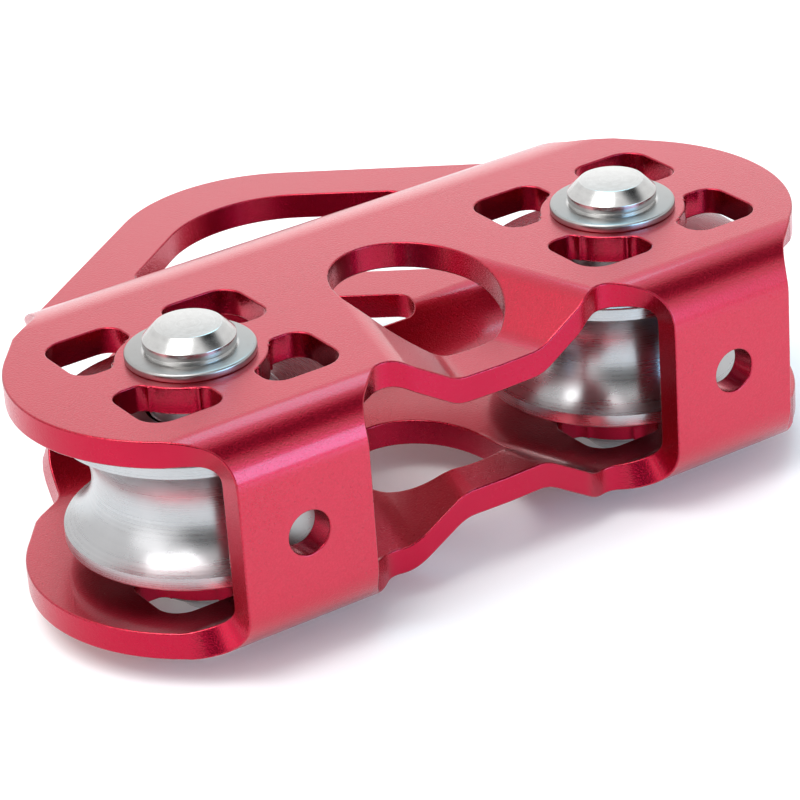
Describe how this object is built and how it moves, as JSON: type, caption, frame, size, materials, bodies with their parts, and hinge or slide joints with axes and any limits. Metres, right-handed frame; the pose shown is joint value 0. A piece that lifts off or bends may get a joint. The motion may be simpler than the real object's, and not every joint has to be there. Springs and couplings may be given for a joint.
{
  "type": "rope pulley",
  "caption": "Tandem rope pulley: two grooved ball-bearing sheaves side by side in one folded plate with a carabiner eye.",
  "frame": {"origin": "midway between the two axles, in the plane of the two rope grooves", "axes": "+X along the rope, +Y from the axles towards the carabiner eye, +Z along the axles"},
  "size_m": [0.1358, 0.0972, 0.046],
  "materials": {
    "red_anodised_plate": "crimson anodised over a fine bead-blasted grain, satin",
    "turned_aluminium": "bare, fine turned rings, satin",
    "polished_steel": "bright turned stainless steel",
    "zinc_steel": "turned and zinc plated",
    "bearing_steel": "ground and polished",
    "brass_cage": "pressed, satin",
    "shield_steel": "pressed, matt"
  },
  "bodies": {
    "frame": {"side_plate": "red_anodised_plate", "axle_left": "polished_steel", "axle_right": "polished_steel", "washer_left_upper": "polished_steel", "washer_left_lower": "polished_steel", "washer_right_upper": "polished_steel", "washer_right_lower": "polished_steel", "spacer_left_upper": "zinc_steel", "spacer_left_lower": "zinc_steel", "spacer_right_upper": "zinc_steel", "spacer_right_lower": "zinc_steel", "sleeve_left": "zinc_steel", "sleeve_right": "zinc_steel", "inner_race_left_upper": "bearing_steel", "inner_race_left_lower": "bearing_steel", "inner_race_right_upper": "bearing_steel", "inner_race_right_lower": "bearing_steel"},
    "sheave_left": {"sheave_left": "turned_aluminium", "outer_race_left_upper": "bearing_steel", "outer_race_left_lower": "bearing_steel", "shields_left_upper": "shield_steel", "shields_left_lower": "shield_steel"},
    "ball_set_left_upper": {"balls_left_upper": "bearing_steel", "cage_left_upper": "brass_cage"},
    "ball_set_left_lower": {"balls_left_lower": "bearing_steel", "cage_left_lower": "brass_cage"},
    "sheave_right": {"sheave_right": "turned_aluminium", "outer_race_right_upper": "bearing_steel", "outer_race_right_lower": "bearing_steel", "shields_right_upper": "shield_steel", "shields_right_lower": "shield_steel"},
    "ball_set_right_upper": {"balls_right_upper": "bearing_steel", "cage_right_upper": "brass_cage"},
    "ball_set_right_lower": {"balls_right_lower": "bearing_steel", "cage_right_lower": "brass_cage"}
  },
  "joints": [
    {"name": "sheave_left_spin", "type": "hinge", "parent": "frame", "child": "sheave_left", "pos_m": [-0.0395, 0, 0], "axis": [0, 0, 1], "continuous": true},
    {"name": "ball_set_left_upper_spin", "type": "hinge", "parent": "frame", "child": "ball_set_left_upper", "pos_m": [-0.0395, 0, 0.0056], "axis": [0, 0, 1], "continuous": true},
    {"name": "ball_set_left_lower_spin", "type": "hinge", "parent": "frame", "child": "ball_set_left_lower", "pos_m": [-0.0395, 0, -0.0056], "axis": [0, 0, 1], "continuous": true},
    {"name": "sheave_right_spin", "type": "hinge", "parent": "frame", "child": "sheave_right", "pos_m": [0.0395, 0, 0], "axis": [0, 0, 1], "continuous": true},
    {"name": "ball_set_right_upper_spin", "type": "hinge", "parent": "frame", "child": "ball_set_right_upper", "pos_m": [0.0395, 0, 0.0056], "axis": [0, 0, 1], "continuous": true},
    {"name": "ball_set_right_lower_spin", "type": "hinge", "parent": "frame", "child": "ball_set_right_lower", "pos_m": [0.0395, 0, -0.0056], "axis": [0, 0, 1], "continuous": true}
  ],
  "couplings": [
    {"joint": "ball_set_left_upper_spin", "follows": "sheave_left_spin", "ratio": 0.6278},
    {"joint": "ball_set_left_lower_spin", "follows": "sheave_left_spin", "ratio": 0.6278},
    {"joint": "ball_set_right_upper_spin", "follows": "sheave_right_spin", "ratio": 0.6278},
    {"joint": "ball_set_right_lower_spin", "follows": "sheave_right_spin", "ratio": 0.6278}
  ]
}
